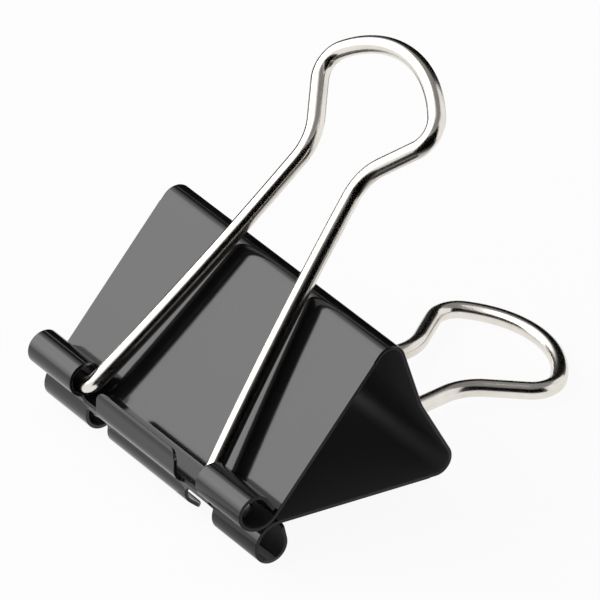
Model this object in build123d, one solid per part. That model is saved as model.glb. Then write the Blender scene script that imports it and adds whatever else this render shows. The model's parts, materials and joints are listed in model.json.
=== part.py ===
from build123d import *
import os
from math import acos, asin, atan2, cos, degrees, radians, sin, tan

# Foldback clip: one strip of spring steel folded to a triangle, with two wire handles
# hooked into the rolled edges of its jaws.
# Lengths are in millimetres and angles in degrees. X runs along the jaws.
# The section is drawn with Y from the jaws to the spine and Z square to the middle plane,
# for the upper half alone. The lower half is the same, turned over about Y.

# Steel strip
clip_width = 51.0       # along the jaws
sheet = 0.5             # thickness of the steel
leaf_angle = 25.6       # each leaf from the middle plane
leaf_length = 29.7      # barrel axis to where the outer faces of leaf and spine would meet
fold_radius = 2.4       # outside of the folds
fold_flat = 1.0         # flat steel that flexes with a fold, on each side of it
crease_depth = 1.3      # how far the middle of the spine dips
crease_radius = 6.0     # outer face of the spine at the dip
jaw_gap = 0.06          # between the jaw tips

# Rolled jaw edge
barrel_bore = 4.0       # diameter inside a barrel
barrel_length = 10.3    # along X
barrel_roll = 195.0     # turn of a barrel past the jaw tip, before its straight tail
roll_standoff = 1.0     # gap between a barrel's bore and the line of the leaf's outer face
free_edge_gap = 0.25    # between a barrel's free edge and the leaf
lip_length = 18.8       # along X
heel_bend = 0.1         # inside of the crease between the leaf and the flat behind the lip
lip_flat = 1.3          # that flat, from below the barrels' tips to the lip's bend
lip_radius = 2.1        # outside of the bend that turns the lip up
lip_turn = 115.0        # turn of that bend
lip_face = 1.6          # flat height of the lip above the bend
crown_radius = 2.2      # outside of the lip's free edge, which leans back to the leaf
crown_turn = 33.0
lip_corner = 1.5        # rounding of a lip's free corners
slot_angle = 41.0       # turn of the lip's bend where the slots beside the lip end
slot_corner = 0.6       # rounding of the slots' corners at the lip

# Wire handles
wire_diameter = 2.4
foot_gap = 0.15         # between a foot and the jaw tip that it lies in
foot_seat = 67.3        # turn of the jaw tip at the place where the foot is nearest to it
rest_gap = 0.45         # between the arms and the fold that they rest over
arm_gap = 0.1           # between an arm and the end of its barrel
handle_reach = 59.62    # foot axis to the middle of the wire at the head
head_width = 24.3       # between the middles of the wire, across the head
head_radius = 16.0      # top of the head
shoulder_radius = 3.6
flank_angle = 39.5      # flanks of the head from the handle's length
neck_width = 12.2       # between the middles of the wire, across the neck
neck_radius = 7.0
arm_angle = 8.7         # arms from the handle's length, at the neck
foot_radius = 1.7
foot_inset = 2.5        # from the barrel's outer end to the tip of the foot
foot_chamfer = 0.3

# Places in the section that follow from the sizes
bore_radius = barrel_bore / 2
barrel_radius = bore_radius + sheet
leaf_offset = bore_radius + roll_standoff
tip_radius = leaf_offset + sheet
wire_radius = wire_diameter / 2
along = Vector(cos(radians(leaf_angle)), sin(radians(leaf_angle)))
outward = Vector(-along.Y, along.X)
barrel_axis = Vector(0, jaw_gap / 2 + tip_radius - roll_standoff * along.Y)
tip_axis = barrel_axis + along * roll_standoff
leaf_foot = barrel_axis - outward * leaf_offset
fold_corner = leaf_foot + along * leaf_length
crease = Vector(fold_corner.X - crease_depth, 0)
down_spine = (crease - fold_corner).normalized()
spine_normal = Vector(-down_spine.Y, down_spine.X)
fold_opening = acos(-along.dot(down_spine))
fold_reach = fold_radius / tan(fold_opening / 2)
leaf_end = fold_corner - along * fold_reach
spine_end = fold_corner + down_spine * fold_reach
fold_axis = leaf_end - outward * fold_radius
heel_height = leaf_foot.Y - outward.Y * sheet - jaw_gap / 2
heel = leaf_foot - outward * sheet - along * (heel_height / along.Y)
heel_radius = heel_bend + sheet
heel_reach = heel_radius * tan(radians(leaf_angle / 2))
lip_axis = Vector(tip_axis.X - lip_flat, jaw_gap / 2 + lip_radius)
lip_start = slot_angle + degrees(slot_corner / (lip_radius - sheet / 2))
barrel_inner_end = clip_width / 2 - barrel_length

# Handle plane: the feet lie in the jaw tips and the arms rest over the fold
seat = outward * cos(radians(foot_seat)) + along * sin(radians(foot_seat))
foot_axis = tip_axis - seat * (leaf_offset - wire_radius - foot_gap)
to_fold = fold_axis - foot_axis
rest_angle = degrees(
    atan2(to_fold.Y, to_fold.X) + asin((fold_radius + rest_gap + wire_radius) / to_fold.length)
)
head_top = foot_axis + Vector(cos(radians(rest_angle)), sin(radians(rest_angle))) * handle_reach

# The clip lies on its lower barrels and on the head of its lower handle
lean = head_top - barrel_axis
lying_angle = degrees(atan2(lean.Y, lean.X) - asin((barrel_radius - wire_radius) / lean.length))


def heading(direction):
    """Angle of a direction in the section, in degrees from Y towards Z."""
    return degrees(atan2(direction.Y, direction.X))


def arc(centre, radius, start, end):
    """Arc about a centre in the section, between two headings."""
    points = []
    for angle in (start, (start + end) / 2, end):
        points.append(centre + Vector(cos(radians(angle)), sin(radians(angle))) * radius)
    return ThreePointArc(*points)


def bent(centre, inner, outer, start, end):
    """Section of bent sheet between two radii and two headings."""
    rim = arc(centre, outer, start, end)
    core = arc(centre, inner, start, end)
    return make_face([rim, Line(rim @ 1, core @ 1), core, Line(core @ 0, rim @ 0)])


def straight(start, end, across):
    """Section of flat sheet whose thickness lies along a vector."""
    return make_face(Polyline(start, end, end + across, start + across, close=True))


def run(section, start, length):
    """Sheet with this section, from a place along X."""
    return extrude(Plane.YZ.offset(start) * section, amount=length)


def tip_heading(turn):
    """Heading from the tip axis after a turn of the jaw tip."""
    return heading(outward * -1) - turn


def lip_heading(turn):
    """Heading from the axis of the lip's bend after a turn of that bend."""
    return -90 - turn


def spine():
    """Back of the clip: two flats that meet in a shallow rounded dip."""
    slope = degrees(atan2(-down_spine.X, -down_spine.Y))
    dip_axis = Vector(crease.X + crease_radius / cos(radians(slope)), 0)
    section = bent(dip_axis, crease_radius, crease_radius + sheet, 180 - slope, 180 + slope)
    flat_start = dip_axis - spine_normal * crease_radius
    flat_end = spine_end + down_spine * fold_flat
    upper_flat = straight(flat_start, flat_end, spine_normal * -sheet)
    section += upper_flat + mirror(upper_flat, about=Plane.XZ)
    return run(section, -clip_width / 2, clip_width)


def fold():
    """Corner between spine and leaf, with the flat steel that flexes with it."""
    section = bent(
        fold_axis, fold_radius - sheet, fold_radius, heading(spine_normal), heading(outward)
    )
    section += straight(spine_end, spine_end + down_spine * fold_flat, spine_normal * -sheet)
    section += straight(leaf_end, leaf_end - along * fold_flat, outward * -sheet)
    return run(section, -clip_width / 2, clip_width)


def slot(side):
    """Cutter for the slot beside the lip on one side, round-cornered at the lip."""
    middle = radians(lip_heading((slot_angle + lip_start) / 2))
    floor = radians(lip_heading(slot_angle))
    depth = lip_radius + sheet
    origin = lip_axis + Vector(cos(floor), sin(floor)) * (lip_radius - sheet / 2)
    width = barrel_inner_end - lip_length / 2 + 2 * slot_corner
    floor_plane = Plane(
        origin=(side * (lip_length + width) / 2, origin.X, origin.Y),
        x_dir=(1, 0, 0),
        z_dir=(0, cos(middle), sin(middle)),
    )
    outline = Pos(0, depth / 2) * RectangleRounded(width, depth, slot_corner)
    return extrude(floor_plane * outline, amount=2 * sheet, both=True)


def leaf():
    """Flat side of the clip down to its jaw tip, where two slots let the arms swing."""
    flat_start = leaf_end - along * fold_flat
    flat_end = leaf_foot + along * roll_standoff
    section = straight(flat_start, flat_end, outward * -sheet)
    body = run(section, -clip_width / 2, clip_width)
    heel_start = heel + along * heel_reach
    heel_axis = heel_start + outward * heel_radius
    heel_end = heel - Vector(heel_reach, 0)
    front = straight(flat_end, heel_start + outward * sheet, outward * -sheet)
    front += bent(heel_axis, heel_bend, heel_radius, tip_heading(0), -90)
    front += straight(heel_end, Vector(lip_axis.X, heel_end.Y), Vector(0, sheet))
    front += bent(lip_axis, lip_radius - sheet, lip_radius, lip_heading(0), lip_heading(lip_start))
    body += run(front, -barrel_inner_end, 2 * barrel_inner_end) - slot(-1) - slot(1)
    tip = bent(tip_axis, leaf_offset, tip_radius, tip_heading(0), tip_heading(90))
    for start in (-clip_width / 2, barrel_inner_end):
        body += run(tip, start, barrel_length)
    return body


def barrel(side):
    """Rolled tube that holds a foot of the handle, with its free edge turned to the leaf."""
    end_turn = radians(tip_heading(90) - barrel_roll)
    end_radius = Vector(cos(end_turn), sin(end_turn))
    onward = Vector(end_radius.Y, -end_radius.X)
    reach = leaf_offset - free_edge_gap + outward.dot(end_radius) * barrel_radius
    tail_length = reach / -outward.dot(onward)
    tail_start = barrel_axis + end_radius * bore_radius
    roll_end = tip_heading(90) - barrel_roll
    section = bent(barrel_axis, bore_radius, barrel_radius, tip_heading(90), roll_end)
    section += straight(tail_start, tail_start + onward * tail_length, end_radius * sheet)
    start = barrel_inner_end if side > 0 else -clip_width / 2
    return run(section, start, barrel_length)


def lip():
    """Edge between the slots: bent up to a flat face, its crown leaning back to the leaf."""
    bend_end = lip_heading(lip_turn)
    section = bent(lip_axis, lip_radius - sheet, lip_radius, lip_heading(lip_start), bend_end)
    facing = Vector(cos(radians(bend_end)), sin(radians(bend_end)))
    face_start = lip_axis + facing * lip_radius
    face_end = face_start + Vector(facing.Y, -facing.X) * lip_face
    section += straight(face_start, face_end, facing * -sheet)
    crown_axis = face_end - facing * crown_radius
    crown_end = bend_end - crown_turn
    section += bent(crown_axis, crown_radius - sheet, crown_radius, bend_end, crown_end)
    body = run(section, -lip_length / 2, lip_length)
    free_edge = crown_axis + Vector(cos(radians(crown_end)), sin(radians(crown_end))) * crown_radius
    face_plane = Plane(
        origin=(0, free_edge.X, free_edge.Y), x_dir=(1, 0, 0), z_dir=(0, facing.X, facing.Y)
    )
    depth = 2 * (lip_radius + lip_face + crown_radius)
    outline = Pos(0, -depth / 2) * RectangleRounded(lip_length, depth, lip_corner)
    return body & extrude(face_plane * outline, amount=depth / 2, both=True)


def half_handle_path():
    """Middle line of one half of a handle, from the top of its head to the tip of its foot."""
    head_turn = degrees(asin((head_width / 2 - shoulder_radius) / (head_radius - shoulder_radius)))
    head = JernArc((0, handle_reach), (1, 0), head_radius, -head_turn)
    shoulder = JernArc(head @ 1, head % 1, shoulder_radius, head_turn - 90 - flank_angle)
    neck_drop = neck_radius * (1 - cos(radians(flank_angle)))
    flank_run = ((shoulder @ 1).X - neck_width / 2 - neck_drop) / sin(radians(flank_angle))
    flank = Line(shoulder @ 1, shoulder @ 1 + (shoulder % 1) * flank_run)
    neck = JernArc(flank @ 1, flank % 1, neck_radius, flank_angle + arm_angle)
    arm_start = neck @ 1
    arm_foot_x = barrel_inner_end - arm_gap - wire_radius
    spread = radians(arm_angle)
    for _ in range(12):
        arm_foot_y = foot_radius * (1 - sin(spread))
        chord = Vector(arm_foot_x - arm_start.X, arm_start.Y - arm_foot_y)
        spread = 2 * atan2(chord.X, chord.Y) - radians(arm_angle)
    arm = TangentArc(arm_start, (arm_foot_x, arm_foot_y), tangent=neck % 1)
    bend = JernArc(arm @ 1, arm % 1, foot_radius, 90 - degrees(spread))
    foot = Line(bend @ 1, (clip_width / 2 - foot_inset, (bend @ 1).Y))
    return [head, shoulder, flank, neck, arm, bend, foot]


def handle():
    """Wire handle lying over its leaf, with its feet turned outward into the barrels."""
    right = half_handle_path()
    left = [mirror(edge, about=Plane.YZ) for edge in right]
    path = Wire(edges=[edge.edges()[0] for edge in right + left])
    foot_tip = right[-1] @ 1
    section = Plane(foot_tip, x_dir=(0, 1, 0), z_dir=(-1, 0, 0)) * Circle(wire_radius)
    wire = sweep(section, path=path)
    tips = wire.faces().sort_by(Axis.X)
    wire = chamfer(tips[0].edges() + tips[-1].edges(), foot_chamfer)
    lift = radians(rest_angle)
    lying = Plane(
        origin=(0, foot_axis.X, foot_axis.Y), x_dir=(1, 0, 0), z_dir=(0, -sin(lift), cos(lift))
    )
    return lying.location * wire


# Pieces of the clip before it is laid down
half_pieces = {
    "fold": fold(),
    "leaf": leaf(),
    "left_barrel": barrel(-1),
    "right_barrel": barrel(1),
    "lip": lip(),
    "handle": handle(),
}
turn_over = Rotation(0, 180, 0)
other_side = {"left_barrel": "right_barrel", "right_barrel": "left_barrel"}
pieces = {"spine": spine()}
for name, shape in half_pieces.items():
    pieces["upper_" + name] = shape
    pieces["lower_" + other_side.get(name, name)] = turn_over * shape

# Laid down, with the origin on the ground below the middle of the clip
laid = {name: Rotation(lying_angle, 0, 0) * shape for name, shape in pieces.items()}
box = Compound(list(laid.values())).bounding_box()
ground = Pos(-box.center().X, -box.center().Y, -box.min.Z)

os.makedirs("parts", exist_ok=True)
for name, shape in laid.items():
    export_step(ground * shape, f"parts/{name}.step")
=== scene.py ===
"""Foldback clip: a strip of black enamelled spring steel with two bright wire handles."""
import json
import logging
import math
from dataclasses import dataclass, field
from enum import Enum
from typing import Any

import bmesh
import bpy
from mathutils import Matrix, Vector


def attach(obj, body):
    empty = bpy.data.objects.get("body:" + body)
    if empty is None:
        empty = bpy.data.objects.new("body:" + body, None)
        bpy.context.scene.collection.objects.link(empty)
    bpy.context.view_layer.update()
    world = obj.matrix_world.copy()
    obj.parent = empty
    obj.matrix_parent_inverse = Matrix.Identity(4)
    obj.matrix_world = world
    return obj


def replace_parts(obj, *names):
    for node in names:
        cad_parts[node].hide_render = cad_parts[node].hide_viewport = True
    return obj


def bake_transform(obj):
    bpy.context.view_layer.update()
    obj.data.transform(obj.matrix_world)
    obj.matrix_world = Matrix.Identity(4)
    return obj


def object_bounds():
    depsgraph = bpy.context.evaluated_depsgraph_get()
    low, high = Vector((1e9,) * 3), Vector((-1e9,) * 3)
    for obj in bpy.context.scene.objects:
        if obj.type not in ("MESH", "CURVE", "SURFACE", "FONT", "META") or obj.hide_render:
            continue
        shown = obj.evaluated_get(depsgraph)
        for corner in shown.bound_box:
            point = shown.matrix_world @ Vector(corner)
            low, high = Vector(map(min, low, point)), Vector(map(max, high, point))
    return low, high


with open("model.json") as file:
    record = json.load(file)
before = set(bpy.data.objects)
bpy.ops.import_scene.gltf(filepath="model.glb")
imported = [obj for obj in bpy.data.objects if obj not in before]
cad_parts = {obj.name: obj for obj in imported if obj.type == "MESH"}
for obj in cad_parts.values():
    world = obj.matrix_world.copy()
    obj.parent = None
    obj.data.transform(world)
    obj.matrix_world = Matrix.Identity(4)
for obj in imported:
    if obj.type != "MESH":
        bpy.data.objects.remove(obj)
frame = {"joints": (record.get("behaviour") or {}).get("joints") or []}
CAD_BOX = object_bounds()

LOG = logging.getLogger("foldback_clip")
MM = 0.001
RIM_LAYER = "rim"
DULL_AND_PAINTED_LIGHT_LAYER = "inside"
STRAIGHTENED_LAYER = "straightened"
BORE_PAINTED_LIGHT_SHARE = 0.3  # share of the inside's painted light that the bores of the barrels get, which keeps them darker as painted shade
TOUCH = 1e-4  # distance below which two points count as one
HAIR = 1e-5  # the same for cuts and seams
STRAIGHT = 1e-9  # turn below which a run counts as straight, in radians
FACING = 0.5  # least part of a normal along an axis that it counts as facing
CARD_HEIGHT = 0.0006  # of the cards that lie on the floor, in metres

Color = tuple[float, float, float, float]


def grey(value: float) -> Color:
    """Opaque neutral colour of a linear value."""
    return (value, value, value, 1.0)


def direction(azimuth: float, elevation: float) -> Vector:
    """Unit vector towards an azimuth from +X and an elevation, both in degrees."""
    around, up = math.radians(azimuth), math.radians(elevation)
    return Vector((math.cos(around) * math.cos(up), math.sin(around) * math.cos(up), math.sin(up)))


class Half(Enum):
    """The two like halves of the clip, named for where they lie."""

    UPPER = "upper"
    LOWER = "lower"

    @property
    def jaw(self) -> str:
        """Name of the half's jaw, a body of the frame."""
        return f"{self.value}_jaw"

    @property
    def handle(self) -> str:
        """Name of the half's handle, a body and a node of the frame."""
        return f"{self.value}_handle"


class Signal:
    """A shader socket that can stand in a Python expression."""

    def __init__(self, graph: "Graph", socket: bpy.types.NodeSocket) -> None:
        """Keeps the socket and the graph that it belongs to."""
        self.graph = graph
        self.socket = socket

    def __add__(self, other: "Signal | float") -> "Signal":
        """Sum of two values."""
        return self.graph.math("ADD", self, other)

    def __radd__(self, other: float) -> "Signal":
        """Sum of two values, the number first."""
        return self.graph.math("ADD", other, self)

    def __sub__(self, other: "Signal | float") -> "Signal":
        """Difference of two values."""
        return self.graph.math("SUBTRACT", self, other)

    def __rsub__(self, other: float) -> "Signal":
        """Difference of two values, the number first."""
        return self.graph.math("SUBTRACT", other, self)

    def __mul__(self, other: "Signal | float") -> "Signal":
        """Product of two values."""
        return self.graph.math("MULTIPLY", self, other)

    def __rmul__(self, other: float) -> "Signal":
        """Product of two values, the number first."""
        return self.graph.math("MULTIPLY", other, self)

    def at_least(self, other: "Signal | float") -> "Signal":
        """Larger of two values."""
        return self.graph.math("MAXIMUM", self, other)


class Graph:
    """Node tree of a material or a world, built by expressions and one node-making method."""

    def __init__(self, tree: bpy.types.NodeTree) -> None:
        """Empties the tree."""
        self.tree = tree
        tree.nodes.clear()

    def node(
        self,
        kind: str,
        settings: dict[str, Any] | None = None,
        inputs: dict[str | int, Any] | None = None,
    ) -> bpy.types.Node:
        """Adds a node.

        Args:
            kind: the node's type.
            settings: its properties, which are set first.
            inputs: values or signals of its sockets, by name or number.

        Returns:
            The new node.
        """
        made = self.tree.nodes.new(kind)
        for name, value in (settings or {}).items():
            setattr(made, name, value)
        for key, value in (inputs or {}).items():
            socket = made.inputs[key]
            if isinstance(value, Signal):
                self.tree.links.new(value.socket, socket)
            else:
                socket.default_value = value
        return made

    def signal(
        self,
        kind: str,
        output: str | int,
        settings: dict[str, Any] | None = None,
        inputs: dict[str | int, Any] | None = None,
    ) -> Signal:
        """Adds a node and takes one of its outputs.

        Args:
            kind: the node's type.
            output: name or number of the output.
            settings: as for node.
            inputs: as for node.

        Returns:
            The output as a signal.
        """
        return Signal(self, self.node(kind, settings, inputs).outputs[output])

    def math(self, operation: str, first: "Signal | float", second: "Signal | float") -> Signal:
        """Value that a Math node works out from two others."""
        return self.signal("ShaderNodeMath", 0, {"operation": operation}, {0: first, 1: second})

    def ramp(self, value: Signal, low: float, high: float) -> Signal:
        """Value from 0 to 1 that rises smoothly between two levels of another."""
        stretch = {"interpolation_type": "SMOOTHSTEP"}
        return self.signal("ShaderNodeMapRange", 0, stretch, {0: value, 1: low, 2: high})

    def blend(self, share: Signal, first: "Signal | Color", second: Color) -> Signal:
        """Colour between two others."""
        color = {"data_type": "RGBA"}  # which has the inputs 6 and 7 and the output 2
        return self.signal("ShaderNodeMix", 2, color, {0: share, 6: first, 7: second})

    def noise(self, place: Signal, scale: float, detail: float, roughness: float) -> Signal:
        """Noise of a scale, in features to the metre."""
        inputs = {"Vector": place, "Scale": scale, "Detail": detail, "Roughness": roughness}
        return self.signal("ShaderNodeTexNoise", 0, {"noise_dimensions": "3D"}, inputs)

    def attribute(self, layer: str, output: str = "Fac") -> Signal:
        """Value or vector of a layer of the mesh."""
        return self.signal("ShaderNodeAttribute", output, {"attribute_name": layer})

    def object_place(self) -> Signal:
        """Place on the object, in metres."""
        return self.signal("ShaderNodeTexCoord", "Object")

    def distance(self) -> Signal:
        """Distance from the origin, in metres."""
        length = {"operation": "LENGTH"}
        return self.signal("ShaderNodeVectorMath", "Value", length, {0: self.object_place()})

    def seen(self) -> Signal:
        """Tells what is looked at from what only gives light.

        Returns:
            One for what the camera, a reflection or a clear piece shows, and else zero.
        """
        path = self.node("ShaderNodeLightPath")
        camera, glossy, clear = (
            Signal(self, path.outputs[name])
            for name in ("Is Camera Ray", "Is Glossy Ray", "Is Transmission Ray")
        )
        return camera.at_least(glossy).at_least(clear)

    def bump(self, height: Signal, depth: float) -> Signal:
        """Normals of a relief of a depth, in metres."""
        inputs = {"Strength": 1.0, "Distance": depth, "Height": height}
        return self.signal("ShaderNodeBump", 0, None, inputs)

    def surface(self, inputs: dict[str | int, Any]) -> Signal:
        """Surface that light falls on, with the values or signals of its sockets."""
        return self.signal("ShaderNodeBsdfPrincipled", 0, None, inputs)

    def glow(self, color: "Signal | Color") -> Signal:
        """Surface that shines with a colour."""
        return self.signal("ShaderNodeEmission", 0, None, {"Color": color, "Strength": 1.0})

    def show(self, surface: Signal, kind: str = "Material") -> None:
        """Makes a surface the one that the material, or another kind of tree, shows."""
        self.node(f"ShaderNodeOutput{kind}", None, {"Surface": surface})


def new_material(name: str) -> tuple[bpy.types.Material, Graph]:
    """Starts a material.

    Args:
        name: the material's name.

    Returns:
        The material without nodes, and its graph.
    """
    made = bpy.data.materials.new(name)
    made.use_nodes = True
    return made, Graph(made.node_tree)


@dataclass(frozen=True)
class EnamelFinish:
    """Baked black enamel on spring steel, thin over the sheet's edges, and duller inside the clip,
    where a paler colour is painted light.

    Attributes:
        name: the material's name.
        black: colour of the enamel.
        faded: its colour in the paler clouds.
        edge: its colour over the sheet's edges.
        inner: its colour inside the clip, paler than the black as painted light there.
        gloss: roughness of the outer faces.
        gloss_spread: how much that changes with the clouds.
        edge_gloss: how much rougher the worn edges are.
        inner_gloss: how much rougher the inside is.
        cloud_size: size of the clouds, in metres.
        cloud_range: levels between which the clouds fade the colour.
        peel_size: size of the orange peel, in metres.
        peel_depth: its depth, in metres.
        speck_size: size of the grain, in metres.
        speck_range: levels of the grain between which the edges are worn.
        speck_depth: depth of the grain, as a share of the orange peel's.
        refraction: index of refraction.
    """

    name: str = "black_enamel"
    black: Color = (0.0065, 0.0065, 0.0069, 1.0)
    faded: Color = (0.0085, 0.0085, 0.0089, 1.0)
    edge: Color = (0.008, 0.008, 0.0085, 1.0)
    inner: Color = (0.055, 0.055, 0.056, 1.0)
    gloss: float = 0.11
    gloss_spread: float = 0.04
    edge_gloss: float = 0.12
    inner_gloss: float = 0.45
    cloud_size: float = 10.833 * MM
    cloud_range: tuple[float, float] = (0.35, 0.7)
    peel_size: float = 1.3 * MM
    peel_depth: float = 0.0018 * MM
    speck_size: float = 0.16 * MM
    speck_range: tuple[float, float] = (0.3, 0.65)
    speck_depth: float = 0.08
    refraction: float = 1.5

    def material(self) -> bpy.types.Material:
        """Makes the material.

        Returns:
            Gloss black with a faint orange peel, cloudy gloss, worn edges and a dull inside that is
            painted paler as painted light.
        """
        made, graph = new_material(self.name)
        place = graph.object_place()
        cloud = graph.noise(place, 1 / self.cloud_size, detail=3.0, roughness=0.55)
        peel = graph.noise(place, 1 / self.peel_size, detail=2.0, roughness=0.4)
        speck = graph.noise(place, 1 / self.speck_size, detail=1.0, roughness=0.5)
        # the inside layer is 1 in the channel and less in the bores; it paints the inside paler as
        # painted light and makes it rougher
        inside = graph.attribute(DULL_AND_PAINTED_LIGHT_LAYER)
        worn = graph.attribute(RIM_LAYER) * graph.ramp(speck, *self.speck_range)
        tone = graph.blend(graph.ramp(cloud, *self.cloud_range), self.black, self.faded)
        # painted light: the inside of the clip is blended to a paler colour than the black
        color = graph.blend(inside, graph.blend(worn, tone, self.edge), self.inner)
        rough = self.gloss - self.gloss_spread / 2 + cloud * self.gloss_spread
        rough = rough + worn * self.edge_gloss
        rough = rough + graph.ramp(inside, 0.0, BORE_PAINTED_LIGHT_SHARE) * self.inner_gloss
        bump = graph.bump(peel + speck * self.speck_depth, self.peel_depth)
        inputs = {"Base Color": color, "Roughness": rough, "IOR": self.refraction, "Normal": bump}
        graph.show(graph.surface(inputs))
        return made


@dataclass(frozen=True)
class NickelFinish:
    """Bright nickel plate on drawn spring wire, with faint lines along the wire.

    Attributes:
        name: the material's name.
        bright: colour of the plate.
        dull: its colour where it is mottled.
        tone_range: levels of the mottle between which the colour changes.
        gloss: least roughness.
        gloss_spread: how much the mottle adds to it.
        line_size: width of the drawing lines, in metres.
        line_stretch: their width as a share of their length.
        line_depth: their depth, in metres.
        line_share: their part in the mottle, of which clouds make the rest.
        cloud_size: size of the clouds, in metres.
    """

    name: str = "nickel_wire"
    bright: Color = (0.80, 0.765, 0.71, 1.0)
    dull: Color = (0.66, 0.625, 0.57, 1.0)
    tone_range: tuple[float, float] = (0.4, 0.75)
    gloss: float = 0.16
    gloss_spread: float = 0.08
    line_size: float = 0.12 * MM
    line_stretch: float = 0.015
    line_depth: float = 0.00012 * MM
    line_share: float = 0.4
    cloud_size: float = 5.0 * MM

    def material(self) -> bpy.types.Material:
        """Makes the material.

        Returns:
            Metal with drawing lines along the wire and a slightly cloudy gloss.
        """
        made, graph = new_material(self.name)
        straight = graph.attribute(STRAIGHTENED_LAYER, "Vector")
        stretch = (1.0, 1.0, self.line_stretch)
        drawn = graph.signal("ShaderNodeMapping", 0, None, {"Vector": straight, "Scale": stretch})
        lines = graph.noise(drawn, 1 / self.line_size, detail=2.0, roughness=0.6)
        place = graph.object_place()
        cloud = graph.noise(place, 1 / self.cloud_size, detail=3.0, roughness=0.6)
        mottle = cloud * (1 - self.line_share) + lines * self.line_share
        color = graph.blend(graph.ramp(mottle, *self.tone_range), self.bright, self.dull)
        rough = self.gloss + mottle * self.gloss_spread
        bump = graph.bump(lines, self.line_depth)
        inputs = {"Base Color": color, "Metallic": 1.0, "Roughness": rough, "Normal": bump}
        graph.show(graph.surface(inputs))
        return made


@dataclass
class Route:
    """Line in a plane made of straight runs and arcs, each tangent to the one before.

    Attributes:
        start: first point.
        heading: direction at the start, in degrees from the plane's first axis.
        runs: length and turn, in degrees, of each run.
    """

    start: tuple[float, float]
    heading: float
    runs: list[tuple[float, float]] = field(default_factory=list)

    def line(self, length: float) -> "Route":
        """Goes straight on."""
        self.runs.append((length, 0.0))
        return self

    def arc(self, radius: float, turn: float) -> "Route":
        """Goes on in an arc that turns left for a positive turn."""
        self.runs.append((radius * math.radians(abs(turn)), turn))
        return self

    @property
    def length(self) -> float:
        """Length of all the runs."""
        return sum(length for length, _ in self.runs)

    def at(self, distance: float) -> tuple[Vector, float]:
        """Follows the line.

        Args:
            distance: length along the line.

        Returns:
            The point there, and the heading in radians.
        """
        point = Vector(self.start)
        heading = math.radians(self.heading)
        left = distance
        for number, (length, turn) in enumerate(self.runs):
            last = number == len(self.runs) - 1
            part = left if last else min(left, length)
            bend = math.radians(turn) * part / length
            if abs(bend) < STRAIGHT:
                point += Vector((math.cos(heading), math.sin(heading))) * part
            else:
                end = heading + bend
                chord = Vector((math.sin(end) - math.sin(heading), math.cos(heading) - math.cos(end)))
                point += chord * (part / bend)
            heading += bend
            left -= part
            if left <= 0:
                break
        return point, heading

    def stops(self, degrees: float, step: float) -> list[float]:
        """Divides the line finely enough for smooth arcs.

        Args:
            degrees: most turn between two stops.
            step: most length between two stops.

        Returns:
            Distances from the start to the end.
        """
        found = [0.0]
        for length, turn in self.runs:
            parts = max(math.ceil(abs(turn) / degrees), math.ceil(length / step))
            base = found[-1]
            found.extend(base + length * part / parts for part in range(1, parts + 1))
        return found


@dataclass(frozen=True)
class StripSizes:
    """Sizes of the steel strip, in millimetres and degrees."""

    width: float = 51.0  # along the jaws
    sheet: float = 0.5  # thickness of the steel
    leaf_angle: float = 25.6  # between a leaf and the middle plane
    leaf_length: float = 29.7  # from below the barrels' axis to the corner with the spine
    fold_radius: float = 2.4  # of a fold's outer face
    fold_flat: float = 1.0  # of spine and leaf that belongs to a fold
    crease_depth: float = 1.3  # of the spine's crease in front of the corners
    crease_radius: float = 6.0  # of the crease's outer face
    jaw_gap: float = 0.06  # between the closed jaws
    barrel_bore: float = 4.0  # diameter
    barrel_length: float = 10.3
    barrel_roll: float = 195.0  # turn of a barrel past the jaw tip
    roll_standoff: float = 1.0  # of the bore from the leaf
    free_edge_gap: float = 0.25  # between a barrel's free edge and the leaf
    lip_length: float = 18.8  # along the jaws
    heel_bend: float = 0.1  # radius of the bend from the leaf to the flat behind the lip
    lip_flat: float = 1.3  # from the end of that flat to the axis of the jaw tip
    lip_radius: float = 2.1  # of the lip's bend
    lip_turn: float = 115.0  # of the same bend
    lip_face: float = 1.6  # flat part of the lip
    crown_radius: float = 2.2  # of the bend along the lip's free edge
    crown_turn: float = 33.0  # of the same bend
    lip_corner: float = 1.5  # rounding of the corners of the lip's free edge
    slot_angle: float = 41.0  # where a slot's floor lies on the lip's bend
    slot_corner: float = 0.6  # rounding of a slot's inner corners
    tail_corner: float = 0.5  # rounding of the corners of a barrel's free edge
    step_width: float = 0.9  # over which the strip steps up to a barrel
    rim_round: float = 0.2  # rounding of the sheet's edges

    @property
    def lip_side(self) -> float:
        """Where the lip ends along the jaws."""
        return self.lip_length / 2

    @property
    def barrel_side(self) -> float:
        """Where a barrel starts along the jaws."""
        return self.width / 2 - self.barrel_length


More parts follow.
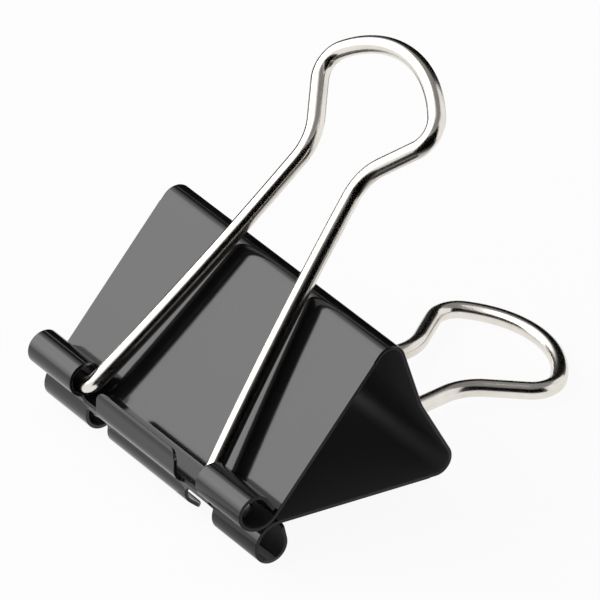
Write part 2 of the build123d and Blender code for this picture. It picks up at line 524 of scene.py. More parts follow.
class Section:
    """Section of the clip's upper half: Y from the jaws to the spine, Z off the middle plane.

    The strip's middle surface follows a route from the middle of the spine to the free edge of a
    barrel, and between the slots another one, to the free edge of the lip.
    """

    def __init__(self, sizes: StripSizes) -> None:
        """Works out the section's points and the strip's routes.

        Args:
            sizes: sizes of the strip.
        """
        self.sizes = sizes
        angle = math.radians(sizes.leaf_angle)
        half_sheet = sizes.sheet / 2
        bore = sizes.barrel_bore / 2
        self.leaf_offset = bore + sizes.roll_standoff
        self.along = Vector((math.cos(angle), math.sin(angle)))
        self.outward = Vector((-self.along.y, self.along.x))
        tip_radius = self.leaf_offset + sizes.sheet
        self.barrel_axis = Vector(
            (0.0, sizes.jaw_gap / 2 + tip_radius - sizes.roll_standoff * self.along.y)
        )
        self.tip_axis = self.barrel_axis + self.along * sizes.roll_standoff
        leaf_foot = self.barrel_axis - self.outward * self.leaf_offset
        corner = leaf_foot + self.along * sizes.leaf_length
        crease = Vector((corner.x - sizes.crease_depth, 0.0))
        down_spine = (crease - corner).normalized()
        spine_normal = Vector((-down_spine.y, down_spine.x))
        opening = math.acos(-self.along.dot(down_spine))
        reach = sizes.fold_radius / math.tan(opening / 2)
        leaf_end = corner - self.along * reach
        spine_end = corner + down_spine * reach
        self.fold_axis = leaf_end - self.outward * sizes.fold_radius
        self.blend_start = spine_end - spine_normal * half_sheet
        self.blend_end = leaf_end - self.outward * half_sheet

        slope = math.atan2(-down_spine.x, -down_spine.y)
        dip_axis = Vector((crease.x + sizes.crease_radius / math.cos(slope), 0.0))
        dip_end = dip_axis - spine_normal * sizes.crease_radius
        leaf_flat = (leaf_end - leaf_foot).length - sizes.roll_standoff
        dip_radius = sizes.crease_radius + half_sheet
        self.route, self.lip_route = (
            Route((dip_axis.x - dip_radius, 0.0), 90.0)
            .arc(dip_radius, -math.degrees(slope))
            .line((spine_end - dip_end).length)
            .arc(sizes.fold_radius - half_sheet, 180.0 - math.degrees(opening))
            .line(leaf_flat)
            for _ in range(2)
        )
        self.tip_start = self.route.length
        self.fold_end = self.tip_start - leaf_flat
        self.spine_seam = self.route.runs[0][0] + self.route.runs[1][0] - sizes.fold_flat
        self.leaf_seam = self.fold_end + sizes.fold_flat
        self.route.arc(self.leaf_offset + half_sheet, -90.0)
        self.route.arc(bore + half_sheet, -sizes.barrel_roll)
        self.route.line(self._tail())
        heel = leaf_foot - self.outward * sizes.sheet
        heel -= self.along * ((heel.y - sizes.jaw_gap / 2) / self.along.y)
        heel_reach = (sizes.heel_bend + sizes.sheet) * math.tan(angle / 2)
        leaf_left = (leaf_foot - heel).dot(self.along) + sizes.roll_standoff - heel_reach
        lip_x = self.tip_axis.x - sizes.lip_flat
        self.lip_route.line(leaf_left)
        self.lip_route.arc(sizes.heel_bend + half_sheet, -sizes.leaf_angle)
        self.lip_route.line(heel.x - heel_reach - lip_x)
        bend = sizes.lip_radius - half_sheet
        self.slot_floor = self.lip_route.length + math.radians(sizes.slot_angle) * bend
        self.lip_route.arc(bend, -sizes.lip_turn)
        self.lip_route.line(sizes.lip_face)
        self.lip_route.arc(sizes.crown_radius - half_sheet, -sizes.crown_turn)
        self.lip_end = self.lip_route.length

    def _tail(self) -> float:
        """Works out a barrel's straight tail.

        Returns:
            The length that brings the barrel's free edge close to the leaf.
        """
        sizes = self.sizes
        turn = math.radians(sizes.leaf_angle + 180.0 - sizes.barrel_roll)
        end_radius = Vector((math.cos(turn), math.sin(turn)))
        onward = Vector((end_radius.y, -end_radius.x))
        barrel = sizes.barrel_bore / 2 + sizes.sheet
        reach = self.leaf_offset - sizes.free_edge_gap + self.outward.dot(end_radius) * barrel
        return reach / -self.outward.dot(onward)

    def _lip_share(self, across: float) -> float:
        """How far the strip follows the lip's route.

        Args:
            across: distance from the middle along the jaws.

        Returns:
            A share from 1 at the lip to 0 at a barrel.
        """
        part = (self.sizes.barrel_side - across) / self.sizes.step_width
        part = min(max(part, 0.0), 1.0)
        return part * part * (3.0 - 2.0 * part)

    def place(self, across: float, distance: float, outward: float) -> Vector:
        """Bends a point of the flat blank into the section.

        Args:
            across: place along the jaws.
            distance: length along the strip, negative for the spine's lower half.
            outward: offset from the middle surface towards the strip's outer face.

        Returns:
            The point in the clip's own frame.
        """
        point, heading = self.route.at(abs(distance))
        lip_point, lip_heading = self.lip_route.at(abs(distance))
        share = self._lip_share(abs(across))
        point = point.lerp(lip_point, share)
        heading += (lip_heading - heading) * share
        y = point.x + outward * math.sin(heading)
        z = point.y - outward * math.cos(heading)
        return Vector((across, y, math.copysign(1.0, distance) * z))


class ClipFrame:
    """Where the clip's own frame lies in the part's frame, read from the folds' hinge axes."""

    def __init__(self, section: Section) -> None:
        """Finds the turn and the shift from the two jaw joints.

        Args:
            section: section of the strip.
        """
        places = {joint["name"]: Vector(joint["pos_m"]) for joint in frame["joints"]}
        upper, lower = (places[f"{half.jaw}_flex"] for half in Half)
        up = (upper - lower).normalized()
        across = Vector((1.0, 0.0, 0.0))
        back = up.cross(across)
        middle = (upper + lower) / 2 - back * section.fold_axis.x * MM
        axes = Matrix((across, back, up)).transposed() * MM
        self.upper = Matrix.Translation(middle) @ axes.to_4x4()
        self.lower = self.upper @ Matrix.Rotation(math.pi, 4, "Y")

    def of(self, half: Half) -> Matrix:
        """Matrix of a half, from millimetres in the upper half's frame."""
        return self.upper if half is Half.UPPER else self.lower


def everything(mesh: bmesh.types.BMesh) -> list[Any]:
    """All the vertices, edges and faces of a mesh."""
    return mesh.verts[:] + mesh.edges[:] + mesh.faces[:]


def in_scene(name: str, data: bpy.types.ID) -> bpy.types.Object:
    """Makes an object and adds it to the scene.

    Args:
        name: the object's name.
        data: its mesh, light or camera.

    Returns:
        The new object.
    """
    made = bpy.data.objects.new(name, data)
    bpy.context.scene.collection.objects.link(made)
    return made


def piece(mesh: bmesh.types.BMesh, name: str, finish: bpy.types.Material) -> bpy.types.Object:
    """Turns a finished mesh into an object at the origin.

    Args:
        mesh: the mesh, in the part's frame, which is freed.
        name: the object's name.
        finish: its material.

    Returns:
        The new object.
    """
    data = bpy.data.meshes.new(name)
    mesh.to_mesh(data)
    mesh.free()
    data.materials.append(finish)
    LOG.info("%s: %d faces", name, len(data.polygons))
    return in_scene(name, data)


@dataclass
class SteelStrip:
    """The folded strip: its spine, its two folds, and its two jaws with rolled edges.

    Attributes:
        sizes: sizes of the strip.
        section: its section.
        place: where the clip lies.
        finish: its enamel.
        row_turn: most bend between two rows of the mesh, in degrees.
        row_step: most length between two rows, in millimetres.
        column_step: length between two columns, in millimetres.
        spacing: least length between two rows, in millimetres.
        margin: least distance of a row or column from an edge, in millimetres.
        step_columns: columns in the step beside a barrel.
        corner_parts: parts of a rounded corner of the blank.
        rim_parts: parts of the rounding of the sheet's edges.
        sharp: least angle between two faces that is shaded as an edge, in degrees.
    """

    sizes: StripSizes
    section: Section
    place: ClipFrame
    finish: bpy.types.Material
    row_turn: float = 5.0
    row_step: float = 2.5
    column_step: float = 2.55
    spacing: float = 0.05
    margin: float = 0.3
    step_columns: int = 4
    corner_parts: int = 8
    rim_parts: int = 4
    sharp: float = 50.0

    def build(self) -> list[bpy.types.Object]:
        """Makes the strip's pieces and sets the spine and the jaws on their bodies.

        Returns:
            The pieces.
        """
        pieces = [self._spine()]
        for half in Half:
            pieces.append(self._fold(half))
            pieces.append(self._jaw(half))
        return pieces

    def _spine(self) -> bpy.types.Object:
        """Back of the clip, with its shallow crease.

        Returns:
            The piece.
        """
        seam = self.section.spine_seam
        mesh = self._blank(-seam, seam)
        self._finish_sheet(mesh, -seam, seam)
        made = self._bent(mesh, Half.UPPER, "spine_plate")
        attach(made, "spine")
        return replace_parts(made, "spine")

    def _fold(self, half: Half) -> bpy.types.Object:
        """Corner between spine and leaf, laid in place at rest.

        Args:
            half: half of the clip.

        Returns:
            The piece.
        """
        section = self.section
        mesh = self._blank(section.spine_seam, section.leaf_seam)
        self._finish_sheet(mesh, section.spine_seam, section.leaf_seam)
        made = self._bent(mesh, half, f"{half.value}_fold_bend")
        matrix = self.place.of(half)
        ends = [matrix @ Vector((0.0, *end)) for end in (section.blend_start, section.blend_end)]
        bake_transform(made)
        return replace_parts(made, f"{half.value}_fold")

    def _jaw(self, half: Half) -> bpy.types.Object:
        """Leaf with its two barrels and the lip between them.

        Args:
            half: half of the clip.

        Returns:
            The piece.
        """
        section = self.section
        mesh = self._blank(section.leaf_seam, section.route.length)
        self._cut_tabs(mesh)
        self._finish_sheet(mesh, section.leaf_seam, math.inf)
        made = self._bent(mesh, half, f"{half.value}_jaw_plate")
        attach(made, half.jaw)
        nodes = [f"{half.value}_{node}" for node in ("leaf", "left_barrel", "right_barrel", "lip")]
        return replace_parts(made, *nodes)

    def _blank(self, start: float, end: float) -> bmesh.types.BMesh:
        """Flat blank, with X along the jaws and Y along the strip.

        Args:
            start: where it starts along the strip.
            end: where it ends.

        Returns:
            A mesh of one face.
        """
        mesh = bmesh.new()
        bmesh.ops.create_grid(mesh, x_segments=1, y_segments=1, size=0.5)
        bmesh.ops.scale(mesh, vec=(self.sizes.width, end - start, 1.0), verts=mesh.verts[:])
        bmesh.ops.translate(mesh, vec=(0.0, (start + end) / 2, 0.0), verts=mesh.verts[:])
        return mesh

    def _cut_tabs(self, mesh: bmesh.types.BMesh) -> None:
        """Cuts the slots and the shorter lip out of a jaw's blank, and rounds the corners.

        Args:
            mesh: the blank.
        """
        sizes, section = self.sizes, self.section
        lip, barrel, edge = sizes.lip_side, sizes.barrel_side, sizes.width / 2
        for across in (-barrel, -lip, lip, barrel):
            self._cut(mesh, "X", across)
        for distance in (section.slot_floor, section.lip_end):
            self._cut(mesh, "Y", distance)
        gone = []
        for face in mesh.faces:
            centre = face.calc_center_median()
            in_slot = lip < abs(centre.x) < barrel and centre.y > section.slot_floor
            past_lip = abs(centre.x) < lip and centre.y > section.lip_end
            if in_slot or past_lip:
                gone.append(face)
        bmesh.ops.delete(mesh, geom=gone, context="FACES")
        bmesh.ops.dissolve_faces(mesh, faces=mesh.faces[:])
        corners = (
            (lip, section.lip_end, sizes.lip_corner),
            (lip, section.slot_floor, sizes.slot_corner),
            (barrel, section.route.length, sizes.tail_corner),
            (edge, section.route.length, sizes.tail_corner),
        )
        for across, distance, radius in corners:
            found = [
                vert for vert in mesh.verts
                if abs(abs(vert.co.x) - across) < TOUCH and abs(vert.co.y - distance) < TOUCH
            ]
            bmesh.ops.bevel(
                mesh, geom=found, offset=radius, offset_type="OFFSET", segments=self.corner_parts,
                profile=0.5, affect="VERTICES", material=-1,
            )

    def _cut(self, mesh: bmesh.types.BMesh, axis: str, place: float) -> None:
        """Cuts the blank along a line.

        Args:
            mesh: the blank.
            axis: axis that the line is square to.
            place: place on that axis.
        """
        normal = Vector((1.0, 0.0, 0.0)) if axis == "X" else Vector((0.0, 1.0, 0.0))
        bmesh.ops.bisect_plane(
            mesh, geom=everything(mesh), dist=HAIR, plane_co=normal * place, plane_no=normal
        )

    def _finish_sheet(self, mesh: bmesh.types.BMesh, start: float, end: float) -> None:
        """Divides the blank for bending, gives it its thickness and rounds its rim.

        Args:
            mesh: the blank.
            start: seam at one end, which stays sharp.
            end: seam at the other end, or infinity if that end is free.
        """
        for row in self._rows(start, end):
            self._cut(mesh, "Y", row)
        for column in self._columns():
            self._cut(mesh, "X", column)
        bmesh.ops.recalc_face_normals(mesh, faces=mesh.faces[:])
        bmesh.ops.solidify(mesh, geom=mesh.faces[:], thickness=self.sizes.sheet)
        heights = [vert.co.z for vert in mesh.verts]
        middle = (max(heights) + min(heights)) / 2
        bmesh.ops.translate(mesh, vec=(0.0, 0.0, -middle), verts=mesh.verts[:])
        rim = []
        for edge in mesh.edges:
            first, second = (face.normal.z for face in edge.link_faces)
            at_seam = any(
                all(abs(vert.co.y - seam) < TOUCH for vert in edge.verts) for seam in (start, end)
            )
            if abs(abs(first) - abs(second)) > FACING and not at_seam:
                rim.append(edge)
        rounded = bmesh.ops.bevel(
            mesh, geom=rim, offset=self.sizes.rim_round, offset_type="OFFSET",
            segments=self.rim_parts, profile=0.5, affect="EDGES", clamp_overlap=True, material=-1,
        )
        rounded_faces = set(rounded["faces"])
        self._mark_faces(mesh, rounded_faces)
        self._mark_edges(mesh, rounded_faces)

    def _mark_faces(self, mesh: bmesh.types.BMesh, rounded: set[bmesh.types.BMFace]) -> None:
        """Tells the enamel which faces are on the sheet's rim and which lie inside the clip, where it
        paints painted light.

        Args:
            mesh: the sheet, still flat.
            rounded: faces of the rim's rounding.
        """
        rim_layer = mesh.loops.layers.float.new(RIM_LAYER)
        dull_and_painted_light_layer = mesh.loops.layers.float.new(DULL_AND_PAINTED_LIGHT_LAYER)
        for face in mesh.faces:
            centre = face.calc_center_median()
            past_tip = abs(centre.y) > self.section.tip_start
            on_rim = face in rounded or abs(face.normal.z) < FACING
            in_channel = face.normal.z < -FACING and not past_tip
            in_barrel = past_tip and abs(centre.x) > self.sizes.barrel_side
            in_bore = face.normal.z > FACING and in_barrel
            for loop in face.loops:
                loop[rim_layer] = float(on_rim)
                # painted light in full in the channel, and a smaller share in the bores, which is
                # painted shade there
                loop[dull_and_painted_light_layer] = 1.0 if in_channel else BORE_PAINTED_LIGHT_SHARE * in_bore

    def _rows(self, start: float, end: float) -> list[float]:
        """Where the blank is cut across for bending.

        Args:
            start: where the blank starts along the strip.
            end: where it ends.

        Returns:
            Distances along the strip, none of them close to another or to an edge.
        """
        section = self.section
        stops = section.route.stops(self.row_turn, self.row_step)
        stops += [
            stop for stop in section.lip_route.stops(self.row_turn, self.row_step)
            if stop > section.tip_start
        ]
        taken = [start, end, section.slot_floor, section.lip_end, section.route.length]
        rows = []
        for stop in sorted(sign * stop for stop in set(stops) for sign in (-1.0, 1.0)):
            spaced = all(abs(stop - row) > self.spacing for row in rows[-1:])
            clear = all(abs(stop - edge) > self.margin for edge in taken)
            if start < stop < end and spaced and clear:
                rows.append(stop)
        return rows

    def _columns(self) -> list[float]:
        """Where the blank is cut along the strip.

        Returns:
            Places along the jaws, closer together beside the barrels.
        """
        sizes = self.sizes
        columns = math.ceil(sizes.width / self.column_step)
        even = [sizes.width * (column / columns - 0.5) for column in range(1, columns)]
        slot = (sizes.lip_side - self.margin, sizes.barrel_side + self.margin)
        places = [place for place in even if not slot[0] < abs(place) < slot[1]]
        last = sizes.barrel_side - self.margin
        step = (sizes.step_width - self.margin) / (self.step_columns - 1)
        beside = [last - step * column for column in range(self.step_columns)]
        return places + [sign * place for place in beside for sign in (-1.0, 1.0)]

    def _mark_edges(self, mesh: bmesh.types.BMesh, rounded: set[bmesh.types.BMFace]) -> None:
        """Keeps the rim's rounding out of the shading of the flat faces.

        Args:
            mesh: the sheet, still flat.
            rounded: faces of the rim's rounding.
        """
        for face in mesh.faces:
            face.smooth = True
        for edge in mesh.edges:
            kinds = {face in rounded for face in edge.link_faces}
            edge.smooth = len(kinds) == 1 and edge.calc_face_angle(0.0) < math.radians(self.sharp)

    def _bent(self, mesh: bmesh.types.BMesh, half: Half, name: str) -> bpy.types.Object:
        """Bends a flat sheet along the section and lays it in place.

        Args:
            mesh: the sheet.
            half: half of the clip.
            name: the piece's name.

        Returns:
            The piece.
        """
        for vert in mesh.verts:
            vert.co = self.section.place(*vert.co)
        bmesh.ops.transform(mesh, matrix=self.place.of(half), verts=mesh.verts[:])
        bmesh.ops.recalc_face_normals(mesh, faces=mesh.faces[:])
        return piece(mesh, name, self.finish)


@dataclass(frozen=True)
class HandleSizes:
    """Sizes of a wire handle, in millimetres and degrees."""

    wire: float = 2.4  # thickness
    foot_gap: float = 0.15  # between a foot and the jaw tip that it lies in
    foot_seat: float = 67.3  # where it lies there, from the leaf towards the front
    rest_gap: float = 0.45  # between the arms and the fold
    arm_gap: float = 0.1  # between an arm and the end of its barrel
    reach: float = 59.62  # from the feet to the top of the head
    head_width: float = 24.3
    head_radius: float = 16.0
    shoulder_radius: float = 3.6  # of the bends beside the head
    flank_angle: float = 39.5  # of the wire from the shoulders to the neck
    neck_width: float = 12.2
    neck_radius: float = 7.0
    arm_angle: float = 8.7  # of an arm below the neck
    foot_radius: float = 1.7  # of the bend from an arm to its foot
    foot_inset: float = 2.5  # of a foot's tip from the side of the strip
    foot_round: float = 0.35  # rounding of the tip


@dataclass
class WireHandle:
    """A wire handle: two feet, two arms that close to a neck, and a round head.

    Attributes:
        half: half of the clip that it belongs to.
        sizes: sizes of the handle.
        section: section of the strip that it hooks into.
        place: where the clip lies.
        finish: its plating.
        sides: sides of the wire.
        turn: most bend between two rings, in degrees.
        step: most length between two rings, in millimetres.
        round_rings: rings in the rounding of a foot's tip.
        rounds: rounds in which the spread of the arms at the feet is found.
    """

    half: Half
    sizes: HandleSizes
    section: Section
    place: ClipFrame
    finish: bpy.types.Material
    sides: int = 40
    turn: float = 3.0
    step: float = 1.5
    round_rings: int = 5
    rounds: int = 12

    def build(self) -> bpy.types.Object:
        """Makes the handle and sets it on its body.

        Returns:
            The piece.
        """
        mesh = bmesh.new()
        layer = mesh.verts.layers.float_vector.new(STRAIGHTENED_LAYER)
        rings = self._rings(mesh, layer)
        for first, second in zip(rings, rings[1:]):
            around = {edge for vert in first + second for edge in vert.link_edges}
            bmesh.ops.bridge_loops(mesh, edges=[edge for edge in around if self._open(edge)])
            for vert in first:
                vert.tag = False
        bmesh.ops.contextual_create(mesh, geom=rings[-1])
        bmesh.ops.mirror(
            mesh, geom=everything(mesh), matrix=Matrix.Identity(4), merge_dist=TOUCH, axis="X"
        )
        bmesh.ops.remove_doubles(mesh, verts=mesh.verts[:], dist=TOUCH)
        bmesh.ops.recalc_face_normals(mesh, faces=mesh.faces[:])
        for face in mesh.faces:
            face.smooth = len(face.verts) == 4
        matrix = self.place.of(self.half) @ self._plane()
        bmesh.ops.transform(mesh, matrix=matrix, verts=mesh.verts[:])
        made = piece(mesh, f"{self.half.value}_wire", self.finish)
        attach(made, self.half.handle)
        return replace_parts(made, self.half.handle)

    @staticmethod
    def _open(edge: bmesh.types.BMEdge) -> bool:
        """Whether an edge is part of a ring that still waits to be joined."""
        return all(vert.tag for vert in edge.verts)

    def _plane(self) -> Matrix:
        """Plane of the handle at rest.

        Returns:
            Matrix from the handle's plane, with Y along it from the feet, to the clip's frame.
        """
        section, sizes = self.section, self.sizes
        wire = sizes.wire / 2
        turn = math.radians(sizes.foot_seat)
        seat = section.outward * math.cos(turn) + section.along * math.sin(turn)
        foot = section.tip_axis - seat * (section.leaf_offset - wire - sizes.foot_gap)
        to_fold = section.fold_axis - foot
        over = section.sizes.fold_radius + sizes.rest_gap + wire
        lift = math.atan2(to_fold.y, to_fold.x) + math.asin(over / to_fold.length)
        return Matrix.Translation((0.0, *foot)) @ Matrix.Rotation(lift, 4, "X")

    def _route(self) -> Route:
        """Middle line of the handle's right half.

        Returns:
            The route from the top of the head to the tip of the foot.
        """
        sizes = self.sizes
        width = self.section.sizes.width
        wire = sizes.wire / 2
        flank, lean = math.radians(sizes.flank_angle), math.radians(sizes.arm_angle)
        side = sizes.head_width / 2 - sizes.shoulder_radius
        head_turn = math.degrees(math.asin(side / (sizes.head_radius - sizes.shoulder_radius)))
        route = Route((0.0, sizes.reach), 0.0)
        route.arc(sizes.head_radius, -head_turn)
        route.arc(sizes.shoulder_radius, head_turn - 90.0 - sizes.flank_angle)
        shoulder, _ = route.at(route.length)
        neck_drop = sizes.neck_radius * (1 - math.cos(flank))
        route.line((shoulder.x - sizes.neck_width / 2 - neck_drop) / math.sin(flank))
        route.arc(sizes.neck_radius, sizes.flank_angle + sizes.arm_angle)
        arm, _ = route.at(route.length)
        foot_x = width / 2 - self.section.sizes.barrel_length - sizes.arm_gap - wire
        spread = lean
        for _ in range(self.rounds):
            foot_y = sizes.foot_radius * (1 - math.sin(spread))
            chord = Vector((foot_x - arm.x, arm.y - foot_y))
            spread = 2 * math.atan2(chord.x, chord.y) - lean
        bend = spread - lean
        route.arc(chord.length / (2 * math.sin(abs(bend) / 2)), math.degrees(bend))
        route.arc(sizes.foot_radius, 90.0 - math.degrees(spread))
        elbow, _ = route.at(route.length)
        return route.line(width / 2 - sizes.foot_inset - elbow.x)

    def _rings(
        self, mesh: bmesh.types.BMesh, layer: bmesh.types.BMLayerItem
    ) -> list[list[bmesh.types.BMVert]]:
        """Rings of the wire along the route, with the rounded tip of the foot.

        Args:
            mesh: mesh to make them in.
            layer: vertex layer that holds the place on the wire as if it were straight.

        Returns:
            The vertices of each ring.
        """
        route = self._route()
        wire, tip = self.sizes.wire / 2, self.sizes.foot_round
        stations = [(stop, wire) for stop in route.stops(self.turn, self.step)]
        stations = [(stop, radius) for stop, radius in stations if stop < route.length - tip]
        for ring in range(self.round_rings + 1):
            angle = math.pi / 2 * ring / self.round_rings
            stop = route.length - tip + tip * math.sin(angle)
            stations.append((stop, wire - tip + tip * math.cos(angle)))
        rings = []
        for stop, radius in stations:
            point, heading = route.at(stop)
            toward = Vector((math.cos(heading), math.sin(heading), 0.0))
            aside = Vector((-toward.y, toward.x, 0.0))
            up = Vector((0.0, 0.0, 1.0))
            turn = Matrix((aside, up, toward)).transposed().to_4x4()
            matrix = Matrix.Translation((*point, 0.0)) @ turn
            ring = bmesh.ops.create_circle(
                mesh, cap_ends=False, radius=radius, segments=self.sides, matrix=matrix
            )["verts"]
            for vert in ring:
                flat = turn.transposed() @ (vert.co - matrix.translation)
                vert[layer] = Vector((flat.x, flat.y, stop)) * MM
                vert.tag = True
            rings.append(ring)
        return rings


@dataclass(frozen=True)
class FloorFinish:
    """White floor that keeps the clip's shadow and runs out to plain white.

    Attributes:
        name: the material's name.
        white: colour of the floor.
        roughness: how matt it is.
        specular: how little it shines.
        lift: share of plain white in what is seen of it near the clip.
        near: distance from the clip at which that share starts to grow, in metres.
        far: distance at which it is plain white.
    """

    name: str = "white_floor"
    white: Color = grey(0.86)
    roughness: float = 0.9
    specular: float = 0.1
    lift: float = 0.93
    near: float = 0.06
    far: float = 0.30

    def material(self) -> bpy.types.Material:
        """Makes the material.

        Returns:
            Matt white, lifted where it is seen, and more so away from the clip.
        """
        made, graph = new_material(self.name)
        share = graph.ramp(graph.distance(), self.near, self.far) * (1 - self.lift) + self.lift
        shine = {"Roughness": self.roughness, "Specular IOR Level": self.specular}
        matt = graph.surface({"Base Color": self.white, **shine})
        parts = {0: share * graph.seen(), 1: matt, 2: graph.glow(grey(1.0))}
        graph.show(graph.signal("ShaderNodeMixShader", 0, None, parts))
        return made


@dataclass(frozen=True)
class Lamp:
    """A soft light that faces the clip and fades towards its edges.

    Attributes:
        name: the lamp's name.
        azimuth: direction seen from above, in degrees from +X.
        elevation: angle above the floor, in degrees.
        distance: from the clip, in metres.
        size: width and height, in metres.
        radiance: brightness of its middle, where 1 is white.
        full: share of its size that has the full brightness.
        mirrored: whether reflections show it.
        dark: where it fades out, from its middle and as a share of its size.
    """

    name: str
    azimuth: float
    elevation: float
    distance: float
    size: tuple[float, float]
    radiance: float
    full: float = 0.15
    mirrored: bool = True
    dark: float = 0.52

    def build(self, middle: Vector) -> None:
        """Hangs the lamp.

        Args:
            middle: what it faces.
        """
        data = bpy.data.lights.new(self.name, "AREA")
        data.shape = "RECTANGLE"
        data.size, data.size_y = self.size
        data.energy = self.radiance * math.pi * self.size[0] * self.size[1]
        data.use_nodes = True
        self._fade(Graph(data.node_tree))
        lamp = in_scene(self.name, data)
        toward = direction(self.azimuth, self.elevation)
        lamp.location = middle + toward * self.distance
        lamp.rotation_mode = "QUATERNION"
        lamp.rotation_quaternion = toward.to_track_quat("Z", "Y")
        lamp.visible_camera = False
        lamp.visible_glossy = self.mirrored

    def _fade(self, graph: Graph) -> None:
        """Makes the lamp's face fade from its middle to its edges.

        Args:
            graph: graph of the lamp.
        """
        place = graph.signal("ShaderNodeNewGeometry", "Parametric")
        middle = (0.5, 0.5, 0.0)
        off = graph.signal(
            "ShaderNodeVectorMath", "Value", {"operation": "DISTANCE"}, {0: place, 1: middle}
        )
        graph.show(graph.glow(graph.ramp(off, self.dark, self.full / 2)), "Light")


@dataclass(frozen=True)
class Screen:
    """A curved screen round the clip that only reflections show.

    Attributes:
        name: the screen's name.
        azimuths: where it starts and ends, in degrees from +X.
        foot: distance from the middle and height of its lower edge, in metres.
        head: distance and height of its upper edge.
        shade: how bright it is, where 1 is white.
        fall: how much brighter its lower edge is.
        step: turn between two of its columns, in degrees.
    """

    name: str
    azimuths: tuple[float, float]
    foot: tuple[float, float]
    head: tuple[float, float]
    shade: float = 0.0
    fall: float = 0.0
    step: float = 5.0

    def build(self) -> None:
        """Sets up the screen as a sector of a cone."""
        mesh = bmesh.new()
        start, end = self.azimuths
        foot = mesh.verts.new((self.foot[0], 0.0, self.foot[1]))
        rise = (self.head[0] - self.foot[0], 0.0, self.head[1] - self.foot[1])
        top = bmesh.ops.extrude_vert_indiv(mesh, verts=[foot])["verts"]
        bmesh.ops.translate(mesh, vec=rise, verts=top)
        turn = Matrix.Rotation(math.radians(start), 4, "Z")
        bmesh.ops.transform(mesh, matrix=turn, verts=mesh.verts[:])
        bmesh.ops.spin(
            mesh, geom=mesh.verts[:] + mesh.edges[:], cent=(0.0, 0.0, 0.0), axis=(0.0, 0.0, 1.0),
            dvec=(0.0, 0.0, 0.0), angle=math.radians(end - start),
            steps=math.ceil((end - start) / self.step), use_merge=False,
        )
        bmesh.ops.remove_doubles(mesh, verts=mesh.verts[:], dist=HAIR)
        bmesh.ops.recalc_face_normals(mesh, faces=mesh.faces[:])
        made = piece(mesh, self.name, self._material())
        for ray in ("camera", "diffuse", "transmission", "shadow"):
            setattr(made, f"visible_{ray}", False)

    def _material(self) -> bpy.types.Material:
        """Makes the screen's material.

        Returns:
            Plain grey, even or fading from the lower edge to the upper one.
        """
        made, graph = new_material(self.name)
        color = grey(self.shade)
        if self.fall:
            share = graph.ramp(graph.distance(), self.head[0], self.foot[0])
            color = share * self.fall + self.shade
        graph.show(graph.glow(color))
        return made


@dataclass(frozen=True)
class Viewpoint:
    """Camera, fitted to the photograph's edges.

    Attributes:
        azimuth: direction of the camera from the clip, in degrees from -Y towards +X.
        elevation: angle above the floor, in degrees.
        roll: turn about the line of sight, in degrees.
        distance: from the aim, in metres.
        aim: point in the middle of the picture, in metres.
        lens: focal length, in millimetres.
        sensor: width of the sensor, in millimetres.
        depth: nearest and farthest distance that it sees, in metres.
    """

    azimuth: float = 57.324
    elevation: float = 30.681
    roll: float = -1.27
    distance: float = 1.3166
    aim: tuple[float, float, float] = (0.00023, -0.00633, 0.01972)
    lens: float = 605.76
    sensor: float = 36.0
    depth: tuple[float, float] = (0.05, 20.0)

    def build(self) -> None:
        """Makes the camera and gives it to the scene."""
        data = bpy.data.cameras.new("viewpoint")
        data.sensor_width = self.sensor
        data.lens = self.lens
        data.clip_start, data.clip_end = self.depth
        camera = in_scene("viewpoint", data)
        back = direction(self.azimuth - 90.0, self.elevation)
        level = (-back).to_track_quat("-Z", "Y").to_matrix().to_4x4()
        turned = level @ Matrix.Rotation(math.radians(self.roll), 4, "Z")
        camera.matrix_world = Matrix.Translation(Vector(self.aim) + back * self.distance) @ turned
        bpy.context.scene.camera = camera


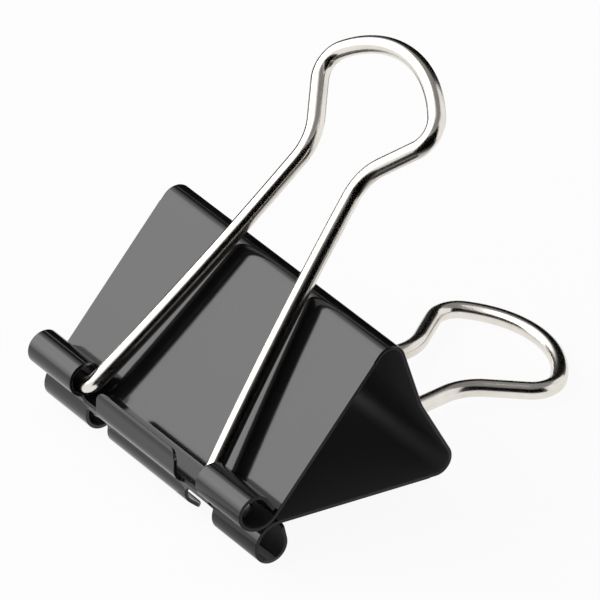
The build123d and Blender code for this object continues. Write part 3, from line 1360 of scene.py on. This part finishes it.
@dataclass(frozen=True)
class Studio:
    """White floor and world, soft lamps, screens to be mirrored and the camera.

    Attributes:
        ambient: light that the world itself gives the clip.
        floor_radius: size of the floor, in metres.
        floor_sides: sides of the floor's outline.
        floor: its finish.
        view: the camera.
        lamps: the soft lamps.
        screens: what the enamel and the wire mirror besides the floor and the lamps; two cards on the
            floor among them are a painted shadow of the clip.
    """

    ambient: float = 0.25
    floor_radius: float = 2.5
    floor_sides: int = 64
    floor: FloorFinish = FloorFinish()
    view: Viewpoint = Viewpoint()
    lamps: tuple[Lamp, ...] = (
        Lamp("left_softbox", 212.0, 33.0, 0.80, (1.60, 1.50), 2.65),
        Lamp("front_softbox", 246.0, 40.0, 0.90, (1.2, 1.1), 1.0, full=0.2),
        Lamp("right_fill", -28.0, 24.0, 1.10, (0.9, 0.7), 2.8, mirrored=False),
    )
    screens: tuple[Screen, ...] = (
        Screen("camera_flag", (-77.0, 25.0), (0.13, 0.0), (0.16, 0.19)),
        Screen("back_flag", (103.0, 150.0), (0.50, 0.0), (0.50, 0.75)),
        Screen("left_flag", (150.0, 187.0), (1.50, 0.30), (1.50, 2.20), 0.03),
        Screen("edge_flag", (150.0, 197.0), (0.30, 0.0), (0.30, 0.11)),
        Screen("floor_card", (115.0, 187.0), (0.075, CARD_HEIGHT), (0.50, CARD_HEIGHT)),
        # painted shadow: these two dark cards on the floor, which only reflections show, stand in for
        # the clip's shadow on the floor at its right
        Screen(
            "right_painted_shadow_card", (-80.0, 38.0), (0.02, CARD_HEIGHT), (0.075, CARD_HEIGHT), 0.05, fall=0.65
        ),
        Screen("far_painted_shadow_card", (-80.0, 38.0), (0.075, CARD_HEIGHT), (0.13, CARD_HEIGHT), fall=0.05),
        Screen("ceiling", (-75.0, 186.0), (0.45, 0.50), (0.0, 0.60), 0.26),
    )

    def build(self) -> None:
        """Sets up the studio."""
        self._world()
        self._floor()
        low, high = CAD_BOX
        for lamp in self.lamps:
            lamp.build((low + high) / 2)
        for screen in self.screens:
            screen.build()
        self.view.build()
        bpy.context.scene.view_settings.view_transform = "Standard"

    def _world(self) -> None:
        """White where it is seen, and an even soft light elsewhere."""
        world = bpy.data.worlds.new("studio")
        world.use_nodes = True
        bpy.context.scene.world = world
        graph = Graph(world.node_tree)
        strength = graph.seen() * (1 - self.ambient) + self.ambient
        inputs = {"Color": grey(1.0), "Strength": strength}
        graph.show(graph.signal("ShaderNodeBackground", 0, None, inputs), "World")

    def _floor(self) -> None:
        """Round white floor under the clip."""
        mesh = bmesh.new()
        bmesh.ops.create_circle(
            mesh, cap_ends=True, radius=self.floor_radius, segments=self.floor_sides
        )
        piece(mesh, "floor", self.floor.material())


def main() -> None:
    """Builds the studio and dresses the clip."""
    logging.basicConfig(level=logging.INFO, format="%(name)s %(message)s")
    Studio().build()
    sizes = StripSizes()
    section = Section(sizes)
    place = ClipFrame(section)
    SteelStrip(sizes, section, place, EnamelFinish().material()).build()
    nickel = NickelFinish().material()
    for half in Half:
        WireHandle(half, HandleSizes(), section, place, nickel).build()


if __name__ == "__main__":
    main()
